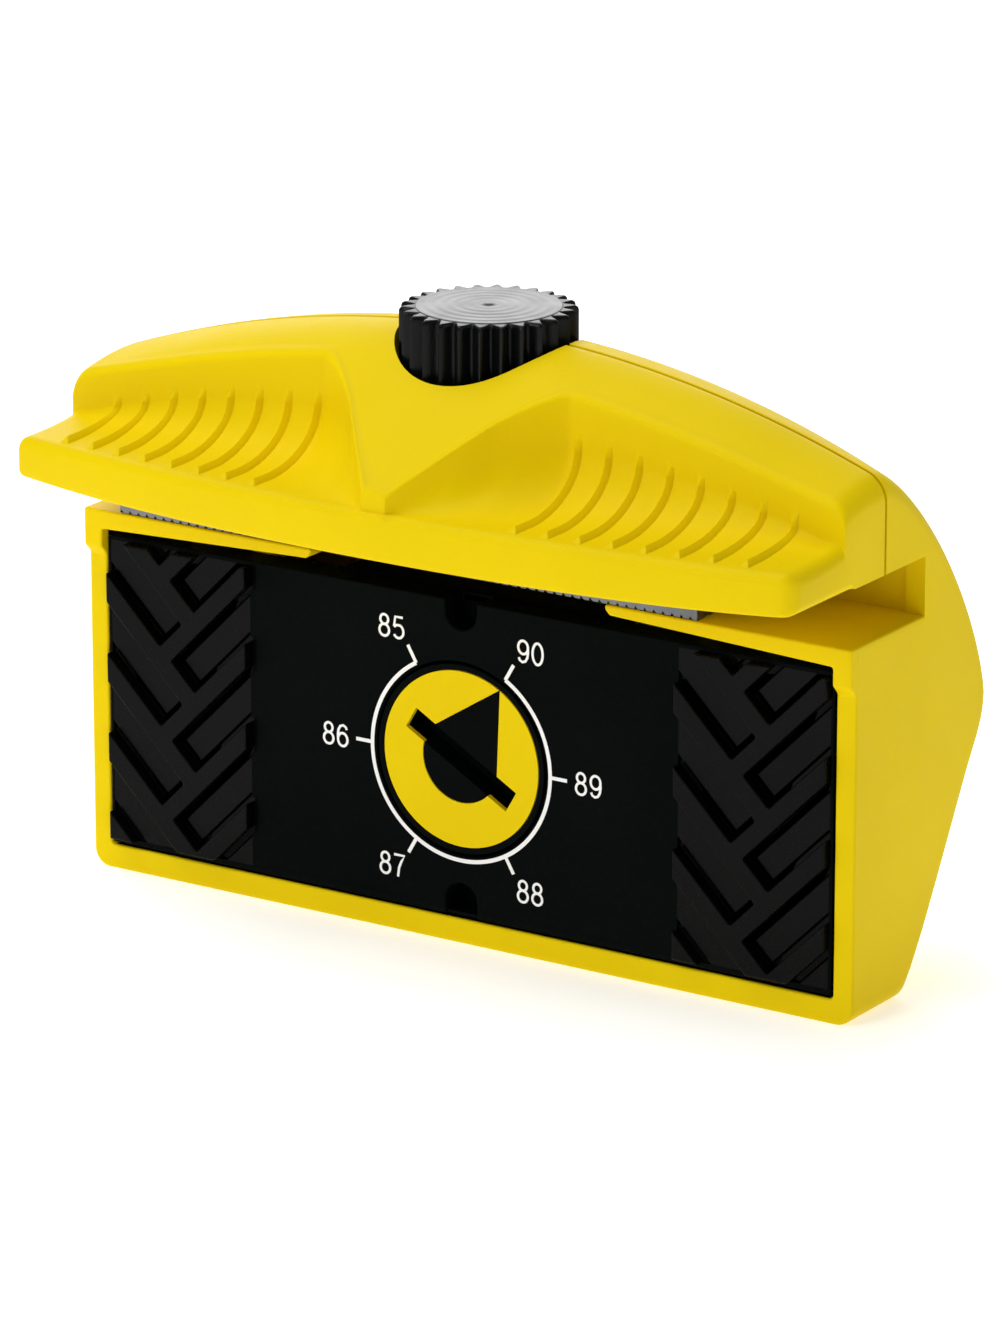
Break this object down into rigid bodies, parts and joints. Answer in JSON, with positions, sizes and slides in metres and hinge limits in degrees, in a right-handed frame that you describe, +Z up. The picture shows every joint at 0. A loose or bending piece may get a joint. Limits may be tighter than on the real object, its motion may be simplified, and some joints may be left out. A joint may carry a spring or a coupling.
{
  "type": "edge tuning tool",
  "caption": "Hand-held ski and snowboard edge file guide: ribbed finger lip, clamped flat file, black guide plate with rubber treads and an angle dial.",
  "frame": {"origin": "bottom centre of the bounding box, level with the tool's flat foot", "axes": "+X along the tool towards the end where the file stops short, +Y from the guide plate to the palm side, +Z up from the foot to the clamp knob"},
  "size_m": [0.12, 0.0546, 0.0861],
  "materials": {
    "shell_yellow": "fine grained matte",
    "knob_black": "satin",
    "zinc_steel": "satin",
    "file_steel": "ground, cut teeth",
    "plate_black": "fine grained matte",
    "tread_rubber": "moulded rubber",
    "ring_rubber": "smooth",
    "cam_polymer": "satin"
  },
  "bodies": {
    "body": {"housing": "shell_yellow", "grip_cover": "shell_yellow", "clamp_nut": "zinc_steel", "cam_post": "zinc_steel", "left_hinge_pin": "zinc_steel", "right_hinge_pin": "zinc_steel", "left_cover_screw": "zinc_steel", "right_cover_screw": "zinc_steel"},
    "plate": {"guide_plate": "plate_black", "left_tread_pad": "tread_rubber", "right_tread_pad": "tread_rubber", "friction_ring": "ring_rubber"},
    "dial": {"dial_core": "plate_black", "dial_disc": "shell_yellow", "angle_cam": "cam_polymer", "cam_screw": "zinc_steel"},
    "clamp": {"pressure_bar": "zinc_steel", "foot_clip": "zinc_steel"},
    "knob": {"clamp_knob": "knob_black", "knob_cap": "knob_black", "clamp_stud": "zinc_steel"},
    "file": {"file": "file_steel"}
  },
  "joints": [
    {"name": "plate_tilt", "type": "hinge", "parent": "body", "child": "plate", "pos_m": [0, -0.00015, 0.045], "axis": [-1, 0, 0], "range_deg": [0, 5]},
    {"name": "dial_turn", "type": "hinge", "parent": "plate", "child": "dial", "pos_m": [0, -0.00635, 0.02563], "axis": [0, 1, 0], "range_deg": [0, 300]},
    {"name": "clamp_lift", "type": "slide", "parent": "body", "child": "clamp", "axis": [0, 0, 1], "range_m": [0, 0.0015]},
    {"name": "knob_turn", "type": "hinge", "parent": "clamp", "child": "knob", "pos_m": [0, 0.00045, 0.08], "axis": [0, 0, 1], "range_deg": [0, 540]},
    {"name": "file_slide", "type": "slide", "parent": "body", "child": "file", "axis": [1, 0, 0], "range_m": [-0.02, 0.12]}
  ],
  "couplings": [
    {"joint": "plate_tilt", "follows": "dial_turn", "ratio": 0.016667},
    {"joint": "knob_turn", "follows": "clamp_lift", "rad_per_m": 6283.2}
  ]
}
